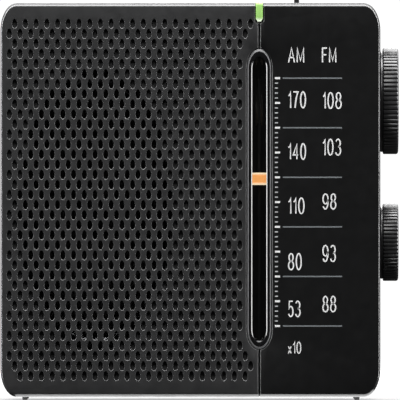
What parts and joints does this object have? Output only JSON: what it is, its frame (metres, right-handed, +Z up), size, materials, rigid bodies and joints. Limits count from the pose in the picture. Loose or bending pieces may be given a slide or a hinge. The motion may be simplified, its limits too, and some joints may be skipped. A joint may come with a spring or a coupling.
{
  "type": "tabletop radio",
  "caption": "Portable radio with a perforated grille, a slide-rule tuning dial, ribbed side knobs and a folding rod antenna.",
  "frame": {"origin": "on the table, under the middle of the object's box", "axes": "+X to the right seen from the front (the knob side), +Y to the back, +Z up"},
  "size_m": [0.1316, 0.052, 0.1328],
  "materials": {
    "grille_plastic": "fine spark-eroded texture",
    "dial_plastic": "smooth satin, with a white printed scale",
    "shell_plastic": "fine texture",
    "bezel_plastic": "gloss with polished rims",
    "lens": "clear polished acrylic",
    "knob_plastic": "satin, ribbed rim",
    "rubber": "matt",
    "pointer_plastic": "satin orange",
    "green_light": "translucent green",
    "white_plastic": "natural",
    "cord": "braided",
    "cone_paper": "pressed paper",
    "board": "solder mask",
    "ferrite": "sintered",
    "copper": "enamelled wire",
    "cell_jacket": "plain printed sleeve",
    "brass": "turned",
    "steel": "plated",
    "chrome": "polished"
  },
  "bodies": {
    "case": {"grille_cover": "grille_plastic", "dial_cover": "dial_plastic", "front_shell": "shell_plastic", "rear_shell": "shell_plastic", "window_bezel": "bezel_plastic", "window_lens": "lens", "case_screw_1": "steel", "case_screw_2": "steel", "case_screw_3": "steel", "case_screw_4": "steel", "foot_1": "rubber", "foot_2": "rubber", "foot_3": "rubber", "foot_4": "rubber", "tuning_capacitor": "white_plastic", "volume_control": "steel", "band_switch": "steel", "light_guide": "green_light", "indicator_lamp": "green_light", "dial_cord": "cord", "dial_chassis": "steel", "guide_rail": "steel", "window_backing": "rubber", "speaker_gasket": "rubber", "speaker_basket": "steel", "speaker_magnet": "steel", "circuit_board": "board", "radio_chip": "rubber", "filter_capacitor": "cell_jacket", "ferrite_rod": "ferrite", "ferrite_coil": "copper", "headphone_jack": "shell_plastic", "battery_1": "cell_jacket", "battery_2": "cell_jacket", "spring_contact": "steel", "button_contact": "steel"},
    "tuning": {"tuning_knob": "knob_plastic", "tuning_shaft": "steel", "tuning_pinion": "brass", "cord_drum": "white_plastic"},
    "capacitor_rotor": {"capacitor_gear": "white_plastic", "capacitor_shaft": "brass"},
    "pointer_slider": {"pointer": "pointer_plastic", "pointer_carriage": "white_plastic"},
    "top_pulley": {"idler_top": "white_plastic"},
    "bottom_pulley": {"idler_bottom": "white_plastic"},
    "volume": {"volume_knob": "knob_plastic", "volume_shaft": "steel"},
    "band_selector": {"band_switch_knob": "knob_plastic"},
    "cone": {"speaker_cone": "cone_paper", "dust_cap": "cone_paper"},
    "door": {"battery_door": "shell_plastic"},
    "antenna_base": {"antenna_swivel": "chrome", "antenna_pin": "steel"},
    "antenna_section_1": {"antenna_tube_1": "chrome"},
    "antenna_section_2": {"antenna_tube_2": "chrome"},
    "antenna_section_3": {"antenna_tube_3": "chrome"},
    "antenna_tip": {"antenna_rod": "chrome"}
  },
  "joints": [
    {"name": "tuning_turn", "type": "hinge", "parent": "case", "child": "tuning", "pos_m": [0.0596, 0, 0.0988], "axis": [1, 0, 0], "range_deg": [-237.9, 348.2]},
    {"name": "pointer_slide", "type": "slide", "parent": "case", "child": "pointer_slider", "axis": [0, 0, 1], "range_m": [-0.0486, 0.0332]},
    {"name": "top_pulley_turn", "type": "hinge", "parent": "case", "child": "top_pulley", "pos_m": [0.01965, -0.01284, 0.114], "axis": [1, 0, 0], "range_deg": [-594.6, 870.4]},
    {"name": "bottom_pulley_turn", "type": "hinge", "parent": "case", "child": "bottom_pulley", "pos_m": [0.01965, -0.01284, 0.017], "axis": [1, 0, 0], "range_deg": [-594.6, 870.4]},
    {"name": "capacitor_turn", "type": "hinge", "parent": "case", "child": "capacitor_rotor", "pos_m": [0.045, 0, 0.07952], "axis": [1, 0, 0], "range_deg": [-107.1, 73.2]},
    {"name": "volume_turn", "type": "hinge", "parent": "case", "child": "volume", "pos_m": [0.0596, 0, 0.05195], "axis": [1, 0, 0], "range_deg": [0, 300]},
    {"name": "band_slide", "type": "slide", "parent": "case", "child": "band_selector", "axis": [1, 0, 0], "range_m": [0, 0.004]},
    {"name": "cone_travel", "type": "slide", "parent": "case", "child": "cone", "axis": [0, 1, 0], "range_m": [-0.0005, 0.0005], "stiffness_N_per_m": 300},
    {"name": "door_hinge", "type": "hinge", "parent": "case", "child": "door", "pos_m": [-0.0238, 0.025, 0.0105], "axis": [-1, 0, 0], "range_deg": [0, 95]},
    {"name": "antenna_swivel_turn", "type": "hinge", "parent": "case", "child": "antenna_base", "pos_m": [-0.056, 0.02185, 0.1255], "axis": [0, -1, 0], "range_deg": [0, 180]},
    {"name": "antenna_elbow", "type": "hinge", "parent": "antenna_base", "child": "antenna_section_1", "pos_m": [-0.056, 0.02185, 0.1255], "axis": [0, 0, 1], "range_deg": [0, 90]},
    {"name": "antenna_pull_1", "type": "slide", "parent": "antenna_section_1", "child": "antenna_section_2", "axis": [1, 0, 0], "range_m": [0, 0.084]},
    {"name": "antenna_pull_2", "type": "slide", "parent": "antenna_section_2", "child": "antenna_section_3", "axis": [1, 0, 0], "range_m": [0, 0.084]},
    {"name": "antenna_pull_3", "type": "slide", "parent": "antenna_section_3", "child": "antenna_tip", "axis": [1, 0, 0], "range_m": [0, 0.084]}
  ],
  "couplings": [
    {"joint": "tuning_turn", "follows": "pointer_slide", "rad_per_m": -125},
    {"joint": "top_pulley_turn", "follows": "pointer_slide", "rad_per_m": -312.5},
    {"joint": "bottom_pulley_turn", "follows": "pointer_slide", "rad_per_m": -312.5},
    {"joint": "capacitor_turn", "follows": "pointer_slide", "rad_per_m": 38.462}
  ]
}
